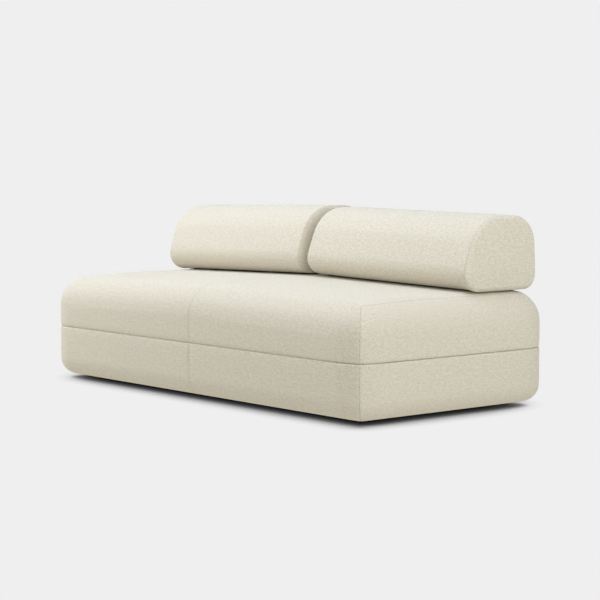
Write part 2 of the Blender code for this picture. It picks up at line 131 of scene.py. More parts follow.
# The grip panel lies in a shallow recess in a bolster's underside
OPENING_END_INSET = 0.045
OPENING_FRONT_INSET = 0.114
OPENING_REAR_INSET = 0.0815
HEM_WIDTH = 0.030
# The hem's rise lets the black mat show under the bolster's foot as a thin dark line: a real part, which
# there stands in for part of the contact shadow
HEM_RISE = 0.0038
HEM_FADE = 0.05
RECESS_DEPTH = 0.0025
GRIP_PANEL_LEVEL = 0.0010
PANEL_GAP = 0.0006

# Seams: the end panels stop part of the way up the top edge's rounding
END_SEAM_ANGLE = math.radians(65)
PANEL_SEAM_INSET = 0.024
SEAM_LOOPS = (0.002, 0.006)
SEAM_DEPTH = 0.0014
SEAM_WIDTH = 0.0024
# Painted shade along the seams: within this width of a seam the fabric's colour darkens down to this share
SEAM_PAINTED_SHADE = 0.72
SEAM_PAINTED_SHADE_WIDTH = 0.0020
RIDGE_HEIGHT = 0.0002
RIDGE_WIDTH = 0.020
CROWD = 1.6

# Mesh spacing
STEP = 0.016
CORNER_STEPS = 12
EDGE_STEPS = 6
FLAT_STEP = 0.026
SHEET_STEP = 0.030
TINY = 1e-6

# Padding: each cover starts this much smaller and swells back under pressure
SWELL = 0.0022
SWELL_GAIN = 1.6
SIM_FRAMES = 20
CLOTH_SETTINGS = {
    "quality": 4, "mass": 0.3, "tension_stiffness": 25, "compression_stiffness": 25, "shear_stiffness": 8,
    "bending_stiffness": 4, "air_damping": 4, "use_pressure": True, "uniform_pressure_force": 4.0}

# Linings and hinge
CLOTH_THICKNESS = 0.0006
DUST_CLOTH_SAG = 0.0012
FOLD_SETBACK = 0.0045
FOLD_RADIUS = 0.0008
FOLD_REACH = 3 * FOLD_RADIUS
TAPE_HALF_GAP = 0.0002
TAPE_THICKNESS = 0.0003
FOLD_STEPS = 8

# Camera
CAMERA_AZIMUTH = 50.31
CAMERA_PITCH = 4.545
CAMERA_PLACE = (5.6094, -4.5779)
CAMERA_ABOVE_BASE = 0.9286
IMAGE_SIZE = 600
FOCAL_PIXELS = 1788.8
SENSOR_WIDTH = 36.0

# Studio
FLOOR_SIZE = 24
BACKGROUND = 0.8632
SKY_STOPS = ((0.0, (1.045, 1.025, 0.945)), (0.49, (0.41, 0.40, 0.37)), (0.51, (0.52, 0.525, 0.545)))
SHADOW_REACH = 0.36
SHADOW_LEAN = (-0.54, 0.45, 0.71)
SHADOW_STOPS = ((0.15, 0.008), (0.20, 0.045), (0.28, 0.17), (0.37, 0.42), (0.43, 0.72), (0.49, BACKGROUND))
SHADOW_SAMPLES = 24
BAND_SCALE = 2.5
BAND_MIDDLE = 0.5
BAND_CORNERS = (0.04, 0.28)
BAND_STOPS = (
    (-0.100, 0.008), (-0.080, 0.03), (-0.060, 0.085), (-0.045, 0.15), (-0.030, 0.235), (-0.015, 0.36),
    (0.0, 0.49), (0.016, 0.60), (0.035, 0.71), (0.055, 0.785), (0.075, 0.83), (0.100, BACKGROUND))

# Lamps: name, place, aim, size, power and colour
LAMPS = (
    ("front_softbox", (0.0, -2.5, 2.4), (0.0, 0.0, 0.4), (2.2, 2.0), 12, (1.0, 1.0, 1.0)),
    ("left_softbox", (-3.0, -1.6, 1.2), (0.0, 0.0, 0.35), (1.6, 1.4), 40, (0.95, 0.96, 1.0)),
    ("right_softbox", (3.6, 0.2, 0.9), (0.8, 0.0, 0.35), (1.6, 1.2), 16.5, (0.98, 0.99, 1.0)),
    ("camera_softbox", (3.4, -2.6, 1.5), (0.3, 0.0, 0.35), (1.6, 1.2), 22, (1.0, 1.0, 1.0)),
    ("overhead_softbox", (-0.5, -0.7, 2.75), (-0.5, 0.0, 0.4), (3.0, 1.5), 47, (0.78, 0.86, 1.0)),
    ("top_right_softbox", (2.6, 0.0, 2.3), (0.5, 0.0, 0.4), (1.5, 1.5), 22, (0.84, 0.89, 1.0)))

SEAT_LOW, SEAT_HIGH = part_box("seat_cover")
BASE_LOW, BASE_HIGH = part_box("base_cover")
HALF_X = SEAT_HIGH.x
HALF_Y = SEAT_HIGH.y
SEAM_Z = (BASE_HIGH.z + SEAT_LOW.z) / 2
CROWN_SLOPE = CROWN_END_FALL / HALF_X

Row = namedtuple("Row", "inset height along kind")


# Mesh helpers

def make_object(name, points, faces):
    mesh = bpy.data.meshes.new(name)
    mesh.from_pydata([tuple(p) for p in points], [], faces)
    form = bmesh.new()
    form.from_mesh(mesh)
    bmesh.ops.recalc_face_normals(form, faces=form.faces)
    form.to_mesh(mesh)
    form.free()
    mesh.shade_smooth()
    piece = bpy.data.objects.new(name, mesh)
    bpy.context.scene.collection.objects.link(piece)
    return piece


def read_points(mesh):
    flat = np.zeros(len(mesh.vertices) * 3)
    mesh.vertices.foreach_get("co", flat)
    return flat.reshape(-1, 3)


def write_points(mesh, points):
    mesh.vertices.foreach_set("co", np.asarray(points, float).ravel())
    mesh.update()


def read_normals(mesh):
    flat = np.zeros(len(mesh.vertices) * 3)
    mesh.vertex_normals.foreach_get("vector", flat)
    return flat.reshape(-1, 3)


def set_attribute(mesh, name, values):
    vector = values.ndim == 2
    attribute = mesh.attributes.new(name, "FLOAT_VECTOR" if vector else "FLOAT", "POINT")
    attribute.data.foreach_set("vector" if vector else "value", values.astype(np.float32).ravel())


def spaced(start, end, step):
    """Values from start to end, both included, about a step apart."""
    count = max(1, round(abs(end - start) / step))
    return list(np.linspace(start, end, count + 1))


def eased(share):
    """A share from 0 to 1 that starts and ends softly."""
    return share ** 2 * (3 - 2 * share)


def with_seam_loops(values, seam, loops):
    """Sorted values with extra ones on both sides of a seam, and none crowding them."""
    kept = [v for v in values if abs(v - seam) > loops[-1] * CROWD]
    extra = [seam] + [seam + side * loop for loop in loops for side in (-1, 1)]
    return sorted(kept + extra)


def tube_faces(ring_count, size):
    """Quads between neighbouring rings of equal size."""
    faces = []
    for k in range(ring_count - 1):
        low = k * size
        for i in range(size):
            j = (i + 1) % size
            faces.append((low + i, low + j, low + size + j, low + size + i))
    return faces


def grid_faces(rows, columns):
    """Quads of a grid whose points are listed row by row."""
    faces = []
    for r in range(rows - 1):
        for c in range(columns - 1):
            first = r * columns + c
            faces.append((first, first + 1, first + columns + 1, first + columns))
    return faces


# Rings of a tier: rounded rectangles with the same stations at every inset

def quarter_stations():
    """Stations from the middle of the right end, round the front corner, to the middle of the front."""
    length = HALF_X - PLAN_RADIUS
    depth = HALF_Y - PLAN_RADIUS
    ends = [("end", y / depth) for y in spaced(0, depth, STEP)]
    loops = [loop / PLAN_RADIUS for loop in SEAM_LOOPS]
    angles = with_seam_loops(np.linspace(0, math.pi / 2, CORNER_STEPS + 1), math.pi / 4, loops)
    corners = [("corner", a) for a in angles if 0 < a < math.pi / 2]
    fronts = [x for x in spaced(length, 0, STEP) if x > SEAM_LOOPS[-1] * CROWD]
    fronts = fronts + list(reversed(SEAM_LOOPS)) + [0.0]
    return ends + corners + [("front", x) for x in fronts]


STATIONS = quarter_stations()


def corner_point(angle, reach):
    """Distances in from a corner's end wall and its front or rear wall, on two arcs that meet at the seam."""
    radius = reach / (math.sin(CORNER_TURN) + 1 - math.cos(CORNER_TURN))
    share = 1 - abs(angle - math.pi / 4) / (math.pi / 4)
    turn = CORNER_TURN * share
    near = radius * (1 - math.cos(turn))
    far = reach - radius * math.sin(turn)
    return (near, far) if angle < math.pi / 4 else (far, near)


def quarter_ring(half_x, half_y, corner):
    reach = corner * CORNER_REACH
    x_in = half_x - reach
    y_in = half_y - reach
    near = SEAM_LOOPS[-1]
    stretch = (x_in - near) / (HALF_X - PLAN_RADIUS - near)
    points = []
    for kind, value in STATIONS:
        if kind == "end":
            points.append((half_x, -value * y_in))
        elif kind == "corner":
            from_end, from_front = corner_point(value, reach)
            points.append((half_x - from_end, from_front - half_y))
        elif value <= near:
            points.append((value, -half_y))
        else:
            points.append((near + (value - near) * stretch, -half_y))
    return np.array(points)


def whole_ring(quarter):
    """All four quarters of per-station values, clockwise from the middle of the right end."""
    flip_x = np.array([-1, 1]) if quarter.ndim == 2 else 1
    flip_y = np.array([1, -1]) if quarter.ndim == 2 else 1
    front = np.concatenate([quarter, quarter[-2::-1] * flip_x])
    return np.concatenate([front, front[-2:0:-1] * flip_y])


def ring_corner(inset):
    """Corner radius in plan of the ring at an inset."""
    if inset > TOP_EDGE_RADIUS:
        widest = WIDEST_CORNER * (HALF_Y - inset) / CORNER_REACH
        return min(LEAST_CORNER + CORNER_OPENING * (inset - TOP_EDGE_RADIUS), widest)
    return max(PLAN_RADIUS - inset, LEAST_CORNER)


def ring_points(row):
    plan = whole_ring(quarter_ring(HALF_X - row.inset, HALF_Y - row.inset, ring_corner(row.inset)))
    return np.column_stack([plan, row.height(plan[:, 0], plan[:, 1])])


def tier_mesh(rows):
    """Points and faces over a stack of rings, closed at both ends by a ladder from front to rear."""
    rings = [ring_points(row) for row in rows]
    size = len(rings[0])
    half = size // 2
    faces = tube_faces(len(rings), size)
    for first in (0, (len(rings) - 1) * size):
        faces.append((first, first + 1, first + size - 1))
        for i in range(1, half - 1):
            faces.append((first + i, first + i + 1, first + size - i - 1, first + size - i))
        faces.append((first + half - 1, first + half, first + half + 1))
    return np.concatenate(rings), faces


# Heights of rows

def crown_height(x, y):
    """Height of the seat's top surface."""
    end_fall = CROWN_SLOPE * (np.hypot(x, CROWN_SOFTNESS) - CROWN_SOFTNESS)
    front_share = np.maximum(0.0, -y / HALF_Y)
    return SEAT_HIGH.z - end_fall - FRONT_FALL * front_share ** 2


def level(z):
    """A height that is the same all round."""
    return lambda x, y: np.full_like(x, z)


def below_crown(drop):
    """A height at this drop below the seat's top surface."""
    return lambda x, y: crown_height(x, y) - drop


def up_wall(share, start):
    """A height at this share of the way from a level up to the top rounding."""
    return lambda x, y: start + (crown_height(x, y) - TOP_EDGE_RADIUS - start) * share


# Rows of a tier

def panel_rows(z):
    """Rows over a sleeping side, from its middle out to its edge, with loops for the panel's seam."""
    insets = spaced(SEAM_EDGE_RADIUS, HALF_Y - MIDDLE_MARGIN, FLAT_STEP)
    insets = with_seam_loops(insets, PANEL_SEAM_INSET, SEAM_LOOPS)
    return [Row(inset, level(z), 0.0, "panel") for inset in reversed(insets)]


def edge_rows(radius, z, upward, steps, kind, setback=0.0):
    """Rows round an edge, from just off a flat side at a height out to the wall above or below it."""
    rows = []
    for step in range(1, steps + 1):
        angle = step / steps * math.pi / 2
        rise = upward * radius * (1 - math.cos(angle))
        rows.append(Row(setback + radius * (1 - math.sin(angle)), level(z + rise), 0.0, kind))
    return rows


def seat_rows():
    """Rows from the sleeping side underneath, up the wall and over the crown."""
    bottom = SEAT_LOW.z - PANEL_PROUD
    rows = panel_rows(bottom) + edge_rows(SEAM_EDGE_RADIUS, bottom, 1, EDGE_STEPS // 2, "edge", SEAT_SETBACK)
    start = bottom + SEAM_EDGE_RADIUS
    wall = SEAT_HIGH.z - TOP_EDGE_RADIUS - start
    for share in [SETBACK_FADE / 2 / wall] + spaced(0, 1, STEP / wall)[1:-1]:
        inset = SEAT_SETBACK * math.exp(-share * wall / SETBACK_FADE)
        rows.append(Row(inset, up_wall(share, start), (share - 1) * wall, "wall"))
    loops = [loop / TOP_EDGE_RADIUS for loop in SEAM_LOOPS]
    for angle in with_seam_loops(spaced(0, math.pi / 2, STEP / TOP_EDGE_RADIUS), END_SEAM_ANGLE, loops):
        inset = TOP_EDGE_RADIUS * (1 - math.cos(angle))
        drop = TOP_EDGE_RADIUS * (1 - math.sin(angle))
        rows.append(Row(inset, below_crown(drop), TOP_EDGE_RADIUS * angle, "round"))
    round_length = TOP_EDGE_RADIUS * math.pi / 2
    for inset in spaced(TOP_EDGE_RADIUS, HALF_Y - MIDDLE_MARGIN, STEP)[1:]:
        rows.append(Row(inset, below_crown(0.0), round_length + inset - TOP_EDGE_RADIUS, "top"))
    return rows


def base_rows():
    """Rows from the sleeping side on top, down the wall and in underneath."""
    top = BASE_HIGH.z + PANEL_PROUD
    rows = panel_rows(top) + edge_rows(SEAM_EDGE_RADIUS, top, -1, EDGE_STEPS // 2, "edge")
    low = BASE_LOW.z + BOTTOM_EDGE_RADIUS
    for z in spaced(top - SEAM_EDGE_RADIUS, low, STEP)[1:-1]:
        rows.append(Row(0.0, level(z), 0.0, "wall"))
    steps = round(BOTTOM_EDGE_RADIUS * math.pi / 2 / STEP)
    rows += reversed(edge_rows(BOTTOM_EDGE_RADIUS, BASE_LOW.z, 1, steps, "round"))
    for inset in spaced(BOTTOM_EDGE_RADIUS, HALF_Y - MIDDLE_MARGIN, FLAT_STEP):
        rows.append(Row(inset, level(BASE_LOW.z), 0.0, "under"))
    return rows


# Seams and fabric directions of a tier

# A distance past every seam, and an angle for stations that lie on no corner
FAR = 1.0
OFF_CORNER = 9.0


def station_turns():
    """Angle of each station from its corner's middle towards the end; large where it isn't on a corner."""
    turns = []
    for kind, value in STATIONS:
        if kind == "corner":
            turns.append(math.pi / 4 - value)
        else:
            turns.append(OFF_CORNER if kind == "end" else -OFF_CORNER)
    return whole_ring(np.array(turns))


def tier_seams(rows, points, end_seam):
    """Distances of each point to the flat seams and to the end panels' seams, and a mask of those panels.

    The end panels reach up to the profile length end_seam.
    """
    turn = station_turns()
    size = len(turn)
    flat = np.full(len(points), FAR)
    edge = np.full(len(points), FAR)
    end_panel = np.zeros(len(points), bool)
    for k, row in enumerate(rows):
        part = slice(k * size, (k + 1) * size)
        if row.kind == "panel":
            flat[part] = abs(row.inset - PANEL_SEAM_INSET)
        elif row.kind != "under":
            ring = points[part]
            flat[part] = np.abs(ring[:, 0])
            corners = ring[np.abs(turn) < TINY]
            beside = np.min([np.linalg.norm(ring - corner, axis=1) for corner in corners], axis=0)
            if row.along <= end_seam + TINY:
                edge[part] = beside
                end_panel[part] = turn > TINY
            across = np.hypot(row.along - end_seam, np.where(turn < 0, beside, 0.0))
            edge[part] = np.minimum(edge[part], across)
    return flat, edge, end_panel


def tier_weave(rows, points, end_panel, border):
    """Fabric coordinates in metres: in plan on the flat sides, and from the border row on over the walls."""
    size = len(points) // len(rows)
    turn = np.tile(station_turns(), len(rows))
    front = points[len(STATIONS) - 1::size]
    lengths = np.linalg.norm(np.diff(front, axis=0), axis=1)
    along = np.concatenate([[0], np.cumsum(lengths)])
    beyond = np.repeat(np.abs(along - along[border]), size) - rows[border].inset
    flat = np.repeat([row.kind in ("panel", "top", "under") for row in rows], size)
    x, y, z = points.T
    u = np.where(flat | (turn <= 0), x, np.sign(x) * (HALF_X + beyond))
    v = np.where(flat | (turn > 0), y, np.sign(y) * (HALF_Y + beyond))
    main = np.column_stack([u, v, np.zeros(len(x))])
    inward = 1 if rows[border].kind == "top" else -1
    ends = np.column_stack([y, z + inward * (HALF_X - np.abs(x)), np.sign(x)])
    return np.where(end_panel[:, None], ends, main)


# Padding

def swell(piece, pinned, distance, edge):
    """The cover starts smaller and swells between its seams: a cloth simulation, capped and applied.

    The seams round the end panels stand out as soft ridges over their turned-in allowances.
    """
    mesh = piece.data
    normals = read_normals(mesh)
    ridge = np.exp(-(edge / RIDGE_WIDTH) ** 2)
    start = SWELL * (ridge - 1) + RIDGE_HEIGHT * ridge
    start = read_points(mesh) + normals * (start * ~pinned)[:, None]
    moved = simulate(piece, start, pinned | (distance < SEAM_LOOPS[0] * CROWD))
    rise = np.einsum("ij,ij->i", moved - start, normals)
    rise = SWELL * (1 - ridge) * np.tanh(np.maximum(rise, 0.0) / SWELL * SWELL_GAIN)
    write_points(mesh, start + normals * rise[:, None])


def simulate(piece, start, held):
    """Points of the cover after a short run under inner pressure, with the held points fixed."""
    mesh = piece.data.copy()
    write_points(mesh, start)
    pad = bpy.data.objects.new(piece.name + "_sim", mesh)
    scene = bpy.context.scene
    scene.collection.objects.link(pad)
    group = pad.vertex_groups.new(name="held")
    group.add([int(i) for i in np.flatnonzero(held)], 1.0, "REPLACE")
    cloth = pad.modifiers.new("cloth", "CLOTH")
    cloth.collision_settings.use_collision = False
    cloth.point_cache.frame_start = 1
    cloth.point_cache.frame_end = SIM_FRAMES
    for name, value in CLOTH_SETTINGS.items():
        setattr(cloth.settings, name, value)
    cloth.settings.vertex_group_mass = group.name
    cloth.settings.effector_weights.gravity = 0
    for step in range(1, SIM_FRAMES + 1):
        scene.frame_set(step)
    graph = bpy.context.evaluated_depsgraph_get()
    moved = read_points(pad.evaluated_get(graph).data)
    bpy.data.objects.remove(pad, do_unlink=True)
    scene.frame_set(1)
    return moved


def carve(piece, distance):
    """Sinks the seams as narrow grooves."""
    mesh = piece.data
    groove = SEAM_DEPTH * np.exp(-(distance / SEAM_WIDTH) ** 2)
    write_points(mesh, read_points(mesh) - read_normals(mesh) * groove[:, None])


def finish_cover(piece, flat, edge, pinned, weave):
    """Swells and seams a cover, and gives it its fabric."""
    distance = np.minimum(flat, edge)
    swell(piece, pinned, distance, edge)
    carve(piece, distance)
    set_attribute(piece.data, "weave", weave)
    set_attribute(piece.data, "seam", distance)
    smooth = piece.modifiers.new("smooth", "SUBSURF")
    smooth.levels = 1
    smooth.render_levels = 1
    piece.data.materials.append(FABRIC)


# Covers of the tiers

def build_tier(name, rows, end_seam, flat_kind):
    """The cover of a tier; its fabric runs on from the border of the flat kind of rows down the walls."""
    points, faces = tier_mesh(rows)
    piece = make_object(name, points, faces)
    kinds = np.repeat([row.kind for row in rows], len(points) // len(rows))
    border = min((row.inset, k) for k, row in enumerate(rows) if row.kind == flat_kind)[1]
    flat, edge, ends = tier_seams(rows, points, end_seam)
    pinned = np.isin(kinds, ("panel", "under"))
    finish_cover(piece, flat, edge, pinned, tier_weave(rows, points, ends, border))
    return piece


def build_seat():
    end_seam = TOP_EDGE_RADIUS * END_SEAM_ANGLE
    piece = build_tier("seat_upholstery", seat_rows(), end_seam, "top")
    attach(piece, "seat")
    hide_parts("seat_cover", "seat_sleep_panel", "seat_sleep_foam", "seat_core_foam", "seat_top_foam")
    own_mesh(piece)


def build_base():
    piece = build_tier("base_upholstery", base_rows(), FAR, "panel")
    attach(piece, "base")
    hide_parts("base_cover", "base_edge_foam", "base_mattress_foam")


# Bolsters

def tangent_angle(low, high):
    """Lean from level of the outer tangent of two circles (inward distance, height, radius) on one side."""
    inward = high[0] - low[0]
    rise = high[1] - low[1]
    return math.asin((low[2] - high[2]) / math.hypot(inward, rise)) + math.atan2(inward, rise)


def bolster_side(sign, bottom_radius, top_radius, lean, inset):
    """Points (y, z) up the front (-1) or rear (1) side of the section: bottom round, then top round."""
    low = (bottom_radius, bottom_radius, bottom_radius)
    high = (lean + top_radius, BOLSTER_HEIGHT - top_radius, top_radius)
    turn = tangent_angle(low, high)
    points = []
    for (inward, centre, radius), start, end in ((low, -math.pi / 2, turn), (high, turn, math.pi / 2)):
        reach = radius - inset
        for angle in spaced(start, end, STEP / radius):
            y = sign * (BOLSTER_DEPTH / 2 - inward + reach * math.cos(angle))
            points.append((y, centre + reach * math.sin(angle)))
    return points


def bolster_outline(inset):
    """The rounds of the closed section, set in by an inset, from the front's underside over to the rear's."""
    front = bolster_side(-1, BOLSTER_FRONT_BOTTOM_RADIUS, BOLSTER_FRONT_TOP_RADIUS, BOLSTER_FRONT_LEAN, inset)
    rear = bolster_side(1, BOLSTER_REAR_BOTTOM_RADIUS, BOLSTER_REAR_TOP_RADIUS, BOLSTER_REAR_LEAN, inset)
    return np.array(front + rear[::-1])


def outline_counts():
    """How many steps each stretch of the section's outline is divided into."""
    outline = bolster_outline(0.0)
    lengths = np.linalg.norm(np.roll(outline, -1, axis=0) - outline, axis=1)
    return [max(1, round(length / STEP)) for length in lengths]


OUTLINE_COUNTS = outline_counts()


def bolster_section(inset):
    """The closed section with its straight stretches divided, the same way at every inset."""
    outline = bolster_outline(inset)
    points = []
    for a, b, count in zip(outline, np.roll(outline, -1, axis=0), OUTLINE_COUNTS):
        points += [a + (b - a) * k / count for k in range(count)]
    points = np.array(points)
    share = points[:, 1] / BOLSTER_HEIGHT
    rear = np.maximum(points[:, 0] / (BOLSTER_DEPTH / 2), 0.0)
    front = np.maximum(-points[:, 0] / (BOLSTER_DEPTH / 2), 0.0)
    points[:, 0] += BOLSTER_REAR_BULGE * rear ** 2 * MIDDLE_PEAK * share * (1 - share)
    points[:, 0] -= BOLSTER_FRONT_BULGE * front ** 2 * HIGH_PEAK * share ** 2 * (1 - share)
    return points


def bolster_rings(end):
    """Rings from the middle of a bolster to the centre of its right cap, and their distances to the seam."""
    seam = BOLSTER_LENGTH / 2 - end.inset
    rows = []
    for x in with_seam_loops(spaced(0, seam, STEP), seam, SEAM_LOOPS):
        if x <= seam:
            rows.append((x, bolster_section(0.0), seam - x))
    for step in range(1, EDGE_STEPS + 1):
        share = step / EDGE_STEPS
        inset = end.rounding * share
        x = seam + end.reach * (1 - (1 - share) ** 2)
        rows.append((x, bolster_section(inset), math.hypot(x - seam, inset)))
    rim = bolster_section(CAP_RIM)
    centre = rim.mean(axis=0)
    for inset in spaced(end.rounding, CAP_RIM, STEP)[1:-1]:
        rows.append((seam + end.reach, bolster_section(inset), inset))
    for step in range(CAP_RINGS + 1):
        share = max(1 - step / CAP_RINGS, CAP_CENTRE_SHARE)
        dome = end.dome * (1 - share ** 2)
        rows.append((seam + end.reach + dome, centre + (rim - centre) * share, CAP_RIM))
    rings = [np.column_stack([np.full(len(ring), x), ring]) for x, ring, _ in rows]
    gaps = [np.full(len(ring), gap) for _, ring, gap in rows]
    return rings, gaps


def bolster_weave(points, ring_count, left_seam, right_seam):
    """Fabric coordinates: along the bolster and round its section, or across its caps."""
    lengths = np.linalg.norm(np.diff(bolster_section(0.0), axis=0), axis=1)
    around = np.tile(np.concatenate([[0], np.cumsum(lengths)]), ring_count)
    caps = (points[:, 0] > right_seam + TINY) | (points[:, 0] < left_seam - TINY)
    across = np.column_stack([points[:, 1], points[:, 2], np.sign(points[:, 0])])
    along = np.column_stack([points[:, 0], around, np.zeros(len(points))])
    return np.where(caps[:, None], across, along)


def opening_box():
    """Half length, front and rear of the opening in a bolster's underside, in its own frame."""
    half = BOLSTER_LENGTH / 2 - OPENING_END_INSET
    front = -BOLSTER_DEPTH / 2 + OPENING_FRONT_INSET
    rear = BOLSTER_DEPTH / 2 - OPENING_REAR_INSET
    return half, front, rear


def bolster_place(side, sign):
    """Where a bolster's own frame lies on the sloping seat: on the middle of its mat."""
    low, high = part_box(f"{side}_bolster_mat")
    cover_low, cover_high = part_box(f"{side}_bolster_cover")
    middle = Vector((low.x + high.x, cover_low.y + cover_high.y, low.z + high.z)) / 2
    tilt = Matrix.Rotation(sign * math.atan(CROWN_SLOPE), 4, "Y")
    return Matrix.Translation(middle) @ tilt @ Matrix.Translation((0, 0, BOLSTER_UNDERSIDE))


def bolster_sag(x, y):
    """How far a bolster's lower edge sinks where the seat under it rounds off to its ends and its rear."""
    past = np.maximum(np.abs(x) - HALF_X, y - HALF_Y) + TOP_EDGE_RADIUS
    drop = TOP_EDGE_RADIUS - np.sqrt(TOP_EDGE_RADIUS ** 2 - np.clip(past, 0.0, TOP_EDGE_RADIUS) ** 2)
    return BOLSTER_SAG * np.tanh(SAG_SHARE * drop / BOLSTER_SAG)


def build_bolster(side, sign):
    """The cover of a bolster, from cap to cap, with a recess for its grip panel and a raised hem round it."""
    place = bolster_place(side, sign)
    left_end, right_end = BOLSTER_ENDS[side]
    left_seam = left_end.inset - BOLSTER_LENGTH / 2
    right_seam = BOLSTER_LENGTH / 2 - right_end.inset
    rings, gaps = bolster_rings(right_end)
    left_rings, left_gaps = bolster_rings(left_end)
    rings = [ring * np.array([-1, 1, 1]) for ring in left_rings[:0:-1]] + rings
    distance = np.concatenate(left_gaps[:0:-1] + gaps)
    points = np.concatenate(rings)
    size = len(rings[0])
    faces = tube_faces(len(rings), size)
    faces.append(tuple(range(size)))
    faces.append(tuple(range(len(points) - size, len(points))))
    weave = bolster_weave(points, len(rings), left_seam, right_seam)
    flat = points[:, 2] < TINY
    half, front, rear = opening_box()
    x, y, z = points.T
    leftward = np.clip(0.5 - x / BOLSTER_LENGTH, 0.0, 1.0)
    z *= 1 - BOLSTER_LEFT_FALL[side] * leftward * (2 - leftward)
    beyond = np.max([np.abs(x) - half, front - y, y - rear], axis=0) / HEM_WIDTH
    beyond = np.clip(beyond, 0.0, 1.0)
    ramp = eased(beyond)
    sag = bolster_sag(x + place.translation.x, y + place.translation.y)
    # The hem's rise shows the black mat beneath as a thin dark line, standing in for part of the contact
    # shadow at the bolster's foot
    lift = (HEM_RISE * ramp - sag * ramp ** SAG_ONSET) * np.exp(-z / HEM_FADE)
    points[:, 2] += np.where(flat & (beyond <= 0), RECESS_DEPTH, lift)
    piece = make_object(f"{side}_bolster_upholstery", points, faces)
    finish_cover(piece, distance, np.full(len(points), FAR), flat, weave)
    piece.matrix_world = place
    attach(piece, f"{side}_bolster")
    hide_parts(f"{side}_bolster_cover", f"{side}_bolster_foam")


# Linings and hinge

def thicken(piece, thickness):
    """Gives a flat cloth its thickness, half of it on each side."""
    modifier = piece.modifiers.new("thickness", "SOLIDIFY")
    modifier.thickness = thickness
    modifier.offset = 0


def build_lining(name, low, high, z, sag, place):
    """A flat lining cloth between two corners, with an even sag towards its middle."""
    xs = spaced(low[0], high[0], SHEET_STEP)
    ys = spaced(low[1], high[1], SHEET_STEP)
    points = []
    for y in ys:
        for x in xs:
            u = (x - low[0]) / (high[0] - low[0])
            v = (y - low[1]) / (high[1] - low[1])
            points.append((x, y, z - sag * math.sin(math.pi * u) * math.sin(math.pi * v)))
    piece = make_object(name, points, grid_faces(len(ys), len(xs)))
    thicken(piece, CLOTH_THICKNESS)
    piece.data.materials.append(BLACK_CLOTH)
    piece.matrix_world = place
    return piece


def build_dust_cloth():
    low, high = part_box("base_dust_cloth")
    z = (low.z + high.z) / 2
    piece = build_lining("dust_cloth", low.xy, high.xy, z, DUST_CLOTH_SAG, Matrix.Identity(4))
    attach(piece, "base")
    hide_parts("base_dust_cloth")


def build_grip_panel(side, sign):
    half, front, rear = opening_box()
    low = (-half + PANEL_GAP, front + PANEL_GAP)
    high = (half - PANEL_GAP, rear - PANEL_GAP)
    name = f"{side}_bolster_grip_cloth"
    piece = build_lining(name, low, high, GRIP_PANEL_LEVEL, 0.0, bolster_place(side, sign))
    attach(piece, f"{side}_bolster")
    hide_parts(f"{side}_bolster_grip_panel")


def build_hinge():
    """One folded tape in the seam: a layer on each tier and a soft fold between them, behind the front."""
    low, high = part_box("hinge_tape_lower")
    fold_y = low.y + FOLD_SETBACK
    section = [(y, SEAM_Z - TAPE_HALF_GAP) for y in spaced(high.y, fold_y + FOLD_REACH, STEP)]
    for step in range(1, FOLD_STEPS):
        angle = -math.pi / 2 - step / FOLD_STEPS * math.pi
        section.append((fold_y + FOLD_RADIUS * math.cos(angle), SEAM_Z + FOLD_RADIUS * math.sin(angle)))
    section += [(y, 2 * SEAM_Z - z) for y, z in section[-FOLD_STEPS::-1]]
    xs = spaced(low.x, high.x, STEP)
    points = [(x, y, z) for y, z in section for x in xs]
    piece = make_object("hinge_tape", points, grid_faces(len(section), len(xs)))
    thicken(piece, TAPE_THICKNESS)
    piece.data.materials.append(WEBBING)
    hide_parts("hinge_tape_lower", "hinge_tape_upper")
    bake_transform(piece)


# Node helpers

def add_node(tree, kind, inputs=None, **settings):
    """A new shader node; an input is a value or another node's output."""
    node = tree.nodes.new("ShaderNode" + kind)
    for name, value in settings.items():
        setattr(node, name, value)
    for key, value in (inputs or {}).items():
        if isinstance(value, bpy.types.NodeSocket):
            tree.links.new(value, node.inputs[key])
        else:
            node.inputs[key].default_value = value
    return node


def math_of(tree, operation, first, second):
    return add_node(tree, "Math", {0: first, 1: second}, operation=operation).outputs[0]


def weighted(tree, parts):
    """Sum of (output, weight) pairs."""
    total = 0.0
    for output, weight in parts:
        total = math_of(tree, "ADD", math_of(tree, "MULTIPLY", output, weight), total)
    return total


def object_place(tree):
    """The place of a point in its object's own frame."""
    return add_node(tree, "TexCoord").outputs["Object"]


def noise_of(tree, vector, stretch, detail=2.0):
    """Noise with this many features a metre along each axis."""
    mapping = add_node(tree, "Mapping", {"Vector": vector, "Scale": stretch})
    noise = add_node(tree, "TexNoise", {"Vector": mapping.outputs[0], "Scale": 1.0, "Detail": detail})
    return noise.outputs["Fac"]


def ramp_of(tree, value, stops):
    """Colour at a value, from (place, colour) stops."""
    node = add_node(tree, "ValToRGB", {"Fac": value})
    elements = node.color_ramp.elements
    while len(elements) < len(stops):
        elements.new(1.0)
    for element, (place, colour) in zip(elements, stops):
        element.position = place
        element.color = (*colour, 1)
    return node.outputs["Color"]


def greys(stops):
    return [(place, (grey, grey, grey)) for place, grey in stops]


def new_material(name, surface):
    material = bpy.data.materials.new(name)
    material.use_nodes = True
    shader = material.node_tree.nodes["Principled BSDF"]
    for key, value in surface.items():
        shader.inputs[key].default_value = value
    return material, material.node_tree, shader


def dress(tree, shader, colour, height, depth):
    """Links a colour and a bump height, in metres of depth, to a shader."""
    tree.links.new(colour, shader.inputs["Base Color"])
    bump = add_node(tree, "Bump", {"Height": height, "Distance": depth})
    tree.links.new(bump.outputs["Normal"], shader.inputs["Normal"])


# Materials: noises in features a metre, stops of tone and colour, and relief in metres

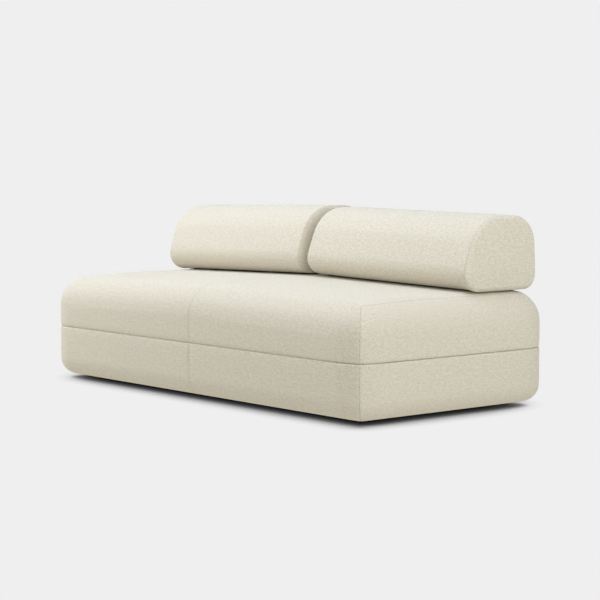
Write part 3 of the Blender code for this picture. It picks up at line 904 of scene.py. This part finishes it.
FABRIC_SURFACE = {
    "Roughness": 0.95, "Specular IOR Level": 0.2, "Sheen Weight": 0.15, "Sheen Roughness": 0.5}
WARP_NOISE = (230, 800, 1)
WEFT_NOISE = (800, 230, 1)
FLECK_NOISE = (380, 380, 1)
MOTTLE_NOISE = (60, 90, 1)
FABRIC_STOPS = (
    (0.41, (0.40, 0.362, 0.280)), (0.50, (0.61, 0.565, 0.455)), (0.59, (0.82, 0.768, 0.630)))
THREAD_RELIEF = 0.0010

WEBBING_SURFACE = {"Roughness": 0.9}
RIB_NOISE = (700, 60, 60)
WEAR_NOISE = (40, 40, 40)
WEBBING_STOPS = ((0.3, (0.46, 0.42, 0.34)), (0.7, (0.60, 0.555, 0.46)))
RIB_RELIEF = 0.0006

LINING_SURFACE = {"Roughness": 0.9, "Sheen Weight": 0.1}
LINING_DOTS = 420.0
LINING_NOISE = (300, 500, 300)
LINING_STOPS = ((0.3, (0.020, 0.020, 0.022)), (0.7, (0.045, 0.045, 0.048)))
DOT_RELIEF = 0.0004

MAT_SURFACE = {"Roughness": 0.75}
MAT_STUDS = 240.0
STUD_DISORDER = 0.15
DUST_NOISE = (120, 120, 120)
MAT_STOPS = ((0.3, (0.018, 0.018, 0.019)), (0.7, (0.050, 0.050, 0.052)))
STUD_RELIEF = -0.0010

PLASTIC_SURFACE = {"Roughness": 0.45}
GRAIN_NOISE = (1500, 1500, 1500)
SCUFF_NOISE = (90, 300, 90)
PLASTIC_STOPS = ((0.4, (0.016, 0.016, 0.018)), (0.8, (0.040, 0.040, 0.043)))
SCUFF_ROUGHNESS = ((0.3, 0.38), (0.7, 0.58))
GRAIN_RELIEF = 0.0002

TIMBER_SURFACE = {"Roughness": 0.6}
PINE = ((0.68, 0.50, 0.31), (0.50, 0.33, 0.18))
BIRCH = ((0.76, 0.62, 0.43), (0.64, 0.49, 0.31))
GRAIN_ALONG = 3
GRAIN_ACROSS = 60
RING_BANDS = 9.0
FIBRE_FINENESS = 4
FIBRE_RELIEF = 0.0004


def fabric_material():
    """Felted woven cloth: two thread directions, flecked yarn, a faint mottle and a soft nap, with painted
    shade that darkens its colour along the seams.
    """
    material, tree, shader = new_material("cream_fabric", FABRIC_SURFACE)
    weave = add_node(tree, "Attribute", attribute_name="weave").outputs["Vector"]
    warp = noise_of(tree, weave, WARP_NOISE)
    weft = noise_of(tree, weave, WEFT_NOISE)
    fleck = noise_of(tree, weave, FLECK_NOISE)
    mottle = noise_of(tree, weave, MOTTLE_NOISE, detail=3.0)
    threads = weighted(tree, ((warp, 0.5), (weft, 0.5)))
    tone = weighted(tree, ((threads, 0.25), (fleck, 0.65), (mottle, 0.10)))
    # Painted shade: the colour darkens towards each seam, standing in for the shade in its crevice
    seam = add_node(tree, "Attribute", attribute_name="seam").outputs["Fac"]
    near = math_of(tree, "MINIMUM", math_of(tree, "DIVIDE", seam, SEAM_PAINTED_SHADE_WIDTH), 1.0)
    shade = math_of(tree, "ADD", math_of(tree, "MULTIPLY", near, 1 - SEAM_PAINTED_SHADE), SEAM_PAINTED_SHADE)
    colour = ramp_of(tree, tone, FABRIC_STOPS)
    cloth = add_node(tree, "VectorMath", {0: colour, "Scale": shade}, operation="SCALE")
    dress(tree, shader, cloth.outputs[0], threads, THREAD_RELIEF)
    return material


def webbing_material():
    """Ribbed cotton tape."""
    material, tree, shader = new_material("webbing", WEBBING_SURFACE)
    place = object_place(tree)
    ribs = noise_of(tree, place, RIB_NOISE)
    wear = noise_of(tree, place, WEAR_NOISE, detail=3.0)
    tone = weighted(tree, ((ribs, 0.6), (wear, 0.4)))
    dress(tree, shader, ramp_of(tree, tone, WEBBING_STOPS), ribs, RIB_RELIEF)
    return material


def lining_material():
    """Black non-woven cloth with pressed dots."""
    material, tree, shader = new_material("black_cloth", LINING_SURFACE)
    place = object_place(tree)
    dots = add_node(tree, "TexVoronoi", {"Vector": place, "Scale": LINING_DOTS}).outputs["Distance"]
    fibres = noise_of(tree, place, LINING_NOISE, detail=4.0)
    tone = weighted(tree, ((dots, 0.4), (fibres, 0.6)))
    dress(tree, shader, ramp_of(tree, tone, LINING_STOPS), dots, DOT_RELIEF)
    return material


def mat_material():
    """Thin rubber mat with small round studs."""
    material, tree, shader = new_material("grip_mat", MAT_SURFACE)
    place = object_place(tree)
    pattern = {"Vector": place, "Scale": MAT_STUDS, "Randomness": STUD_DISORDER}
    studs = add_node(tree, "TexVoronoi", pattern).outputs["Distance"]
    dust = noise_of(tree, place, DUST_NOISE, detail=3.0)
    tone = weighted(tree, ((studs, 0.5), (dust, 0.5)))
    dress(tree, shader, ramp_of(tree, tone, MAT_STOPS), studs, STUD_RELIEF)
    return material


def plastic_material():
    """Moulded black plastic with a fine spark-eroded grain and slight scuffs."""
    material, tree, shader = new_material("black_plastic", PLASTIC_SURFACE)
    place = object_place(tree)
    grain = noise_of(tree, place, GRAIN_NOISE, detail=1.0)
    scuffs = noise_of(tree, place, SCUFF_NOISE, detail=4.0)
    tree.links.new(ramp_of(tree, scuffs, greys(SCUFF_ROUGHNESS)), shader.inputs["Roughness"])
    dress(tree, shader, ramp_of(tree, scuffs, PLASTIC_STOPS), grain, GRAIN_RELIEF)
    return material


def timber_material(name, stretch, pale, dark):
    """Planed wood with its grain along the axis that the stretch leaves long."""
    material, tree, shader = new_material(name, TIMBER_SURFACE)
    place = object_place(tree)
    rings = noise_of(tree, place, stretch, detail=3.0)
    bands = math_of(tree, "FRACT", math_of(tree, "MULTIPLY", rings, RING_BANDS), 0.0)
    fibres = noise_of(tree, place, [FIBRE_FINENESS * s for s in stretch], detail=4.0)
    tone = weighted(tree, ((bands, 0.45), (fibres, 0.55)))
    dress(tree, shader, ramp_of(tree, tone, ((0.2, pale), (0.8, dark))), fibres, FIBRE_RELIEF)
    return material


def grain_stretch(axis):
    return [GRAIN_ALONG if k == axis else GRAIN_ACROSS for k in range(3)]


FABRIC = fabric_material()
WEBBING = webbing_material()
BLACK_CLOTH = lining_material()
PLASTIC = plastic_material()
MAT = mat_material()
TIMBERS = [timber_material(f"timber_{'xyz'[axis]}", grain_stretch(axis), *PINE) for axis in range(3)]
PLYWOOD = timber_material("plywood", grain_stretch(0), *BIRCH)


def dress_solids():
    """Materials of the solids that stay: timber by its longest side, plywood, plastic and rubber."""
    slots = {part["node"]: part["material_slot"] for part in frame["record"]["subparts"]}
    plain = {"plywood": PLYWOOD, "black_plastic": PLASTIC, "grip_mat": MAT}
    for name, node in frame["nodes"].items():
        if node.hide_render:
            continue
        low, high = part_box(name)
        longest = int(np.argmax(high - low))
        node.material_slots[0].material = plain.get(slots[name], TIMBERS[longest])


# Studio

def by_camera_ray(tree, seen, other):
    """A shader that camera, glossy and transmission rays see one way and other rays another way."""
    path = add_node(tree, "LightPath").outputs
    ray = math_of(tree, "MAXIMUM", path["Is Camera Ray"], path["Is Glossy Ray"])
    ray = math_of(tree, "MAXIMUM", ray, path["Is Transmission Ray"])
    return add_node(tree, "MixShader", {"Fac": ray, 1: other, 2: seen}).outputs[0]


def shadow_band(tree):
    """Grey of the even shadow band along the base's footprint, rounder at its left front and right rear."""
    place = add_node(tree, "NewGeometry").outputs["Position"]
    parts = add_node(tree, "SeparateXYZ", {"Vector": place}).outputs
    diagonal = math_of(tree, "GREATER_THAN", math_of(tree, "MULTIPLY", parts["X"], parts["Y"]), 0.0)
    corner = add_node(tree, "Mix", {0: diagonal, 2: BAND_CORNERS[0], 3: BAND_CORNERS[1]}).outputs[0]
    past = []
    for axis, half in (("X", HALF_X), ("Y", HALF_Y)):
        outside = math_of(tree, "SUBTRACT", math_of(tree, "ABSOLUTE", parts[axis], 0.0), half)
        past.append(math_of(tree, "ADD", outside, corner))
    inside = math_of(tree, "MINIMUM", math_of(tree, "MAXIMUM", *past), 0.0)
    sides = {k: math_of(tree, "MAXIMUM", past[k], 0.0) for k in range(2)}
    around = add_node(tree, "CombineXYZ", sides).outputs[0]
    reach = add_node(tree, "VectorMath", {0: around}, operation="LENGTH").outputs["Value"]
    beyond = math_of(tree, "SUBTRACT", math_of(tree, "ADD", reach, inside), corner)
    share = math_of(tree, "ADD", math_of(tree, "MULTIPLY", beyond, BAND_SCALE), BAND_MIDDLE)
    stops = [(BAND_MIDDLE + BAND_SCALE * away, grey) for away, grey in BAND_STOPS]
    return ramp_of(tree, share, greys(stops))


def build_floor():
    """A pale floor that shows the background's colour and darkens close to the object; clear from below."""
    bpy.ops.mesh.primitive_plane_add(size=FLOOR_SIZE)
    floor = bpy.context.object
    floor.name = "floor"
    material = bpy.data.materials.new("floor")
    material.use_nodes = True
    tree = material.node_tree
    tree.nodes.clear()
    lean = add_node(tree, "CombineXYZ", dict(zip("XYZ", SHADOW_LEAN))).outputs[0]
    inputs = {"Distance": SHADOW_REACH, "Normal": lean}
    shade = add_node(tree, "AmbientOcclusion", inputs, samples=SHADOW_SAMPLES)
    contact = ramp_of(tree, shade.outputs["AO"], greys(SHADOW_STOPS))
    grey = math_of(tree, "MINIMUM", contact, shadow_band(tree))
    seen = add_node(tree, "Emission", {"Color": grey}).outputs[0]
    clear = add_node(tree, "BsdfTransparent").outputs[0]
    below = add_node(tree, "NewGeometry").outputs["Backfacing"]
    seen = add_node(tree, "MixShader", {"Fac": below, 1: seen, 2: clear}).outputs[0]
    add_node(tree, "OutputMaterial", {"Surface": by_camera_ray(tree, seen, clear)})
    floor.data.materials.append(material)


def build_world():
    """A plain backdrop, and even light from a bright floor below and from above."""
    world = bpy.data.worlds.new("studio")
    bpy.context.scene.world = world
    world.use_nodes = True
    tree = world.node_tree
    tree.nodes.clear()
    direction = add_node(tree, "TexCoord").outputs["Generated"]
    up = add_node(tree, "SeparateXYZ", {"Vector": direction}).outputs["Z"]
    share = math_of(tree, "ADD", math_of(tree, "MULTIPLY", up, 0.5), 0.5)
    light = add_node(tree, "Background", {"Color": ramp_of(tree, share, SKY_STOPS)}).outputs[0]
    seen = add_node(tree, "Background", {"Color": (BACKGROUND, BACKGROUND, BACKGROUND, 1)}).outputs[0]
    add_node(tree, "OutputWorld", {"Surface": by_camera_ray(tree, seen, light)})


def add_area(name, place, aim, size, power, colour):
    data = bpy.data.lights.new(name, "AREA")
    data.shape = "RECTANGLE"
    data.size, data.size_y = size
    data.energy = power
    data.color = colour
    lamp = bpy.data.objects.new(name, data)
    bpy.context.scene.collection.objects.link(lamp)
    lamp.location = place
    lamp.rotation_euler = (Vector(aim) - Vector(place)).to_track_quat("-Z", "Y").to_euler()


def build_camera():
    data = bpy.data.cameras.new("camera")
    data.sensor_width = SENSOR_WIDTH
    data.lens = SENSOR_WIDTH * FOCAL_PIXELS / IMAGE_SIZE
    camera = bpy.data.objects.new("camera", data)
    bpy.context.scene.collection.objects.link(camera)
    camera.location = (*CAMERA_PLACE, BASE_LOW.z + CAMERA_ABOVE_BASE)
    camera.rotation_euler = (math.radians(90 - CAMERA_PITCH), 0, math.radians(CAMERA_AZIMUTH))
    bpy.context.scene.camera = camera


bpy.context.scene.view_settings.view_transform = "Standard"
build_camera()
build_seat()
build_base()
for bolster in (("left", -1), ("right", 1)):
    build_bolster(*bolster)
    build_grip_panel(*bolster)
build_dust_cloth()
build_hinge()
dress_solids()
build_floor()
build_world()
for lamp in LAMPS:
    add_area(*lamp)
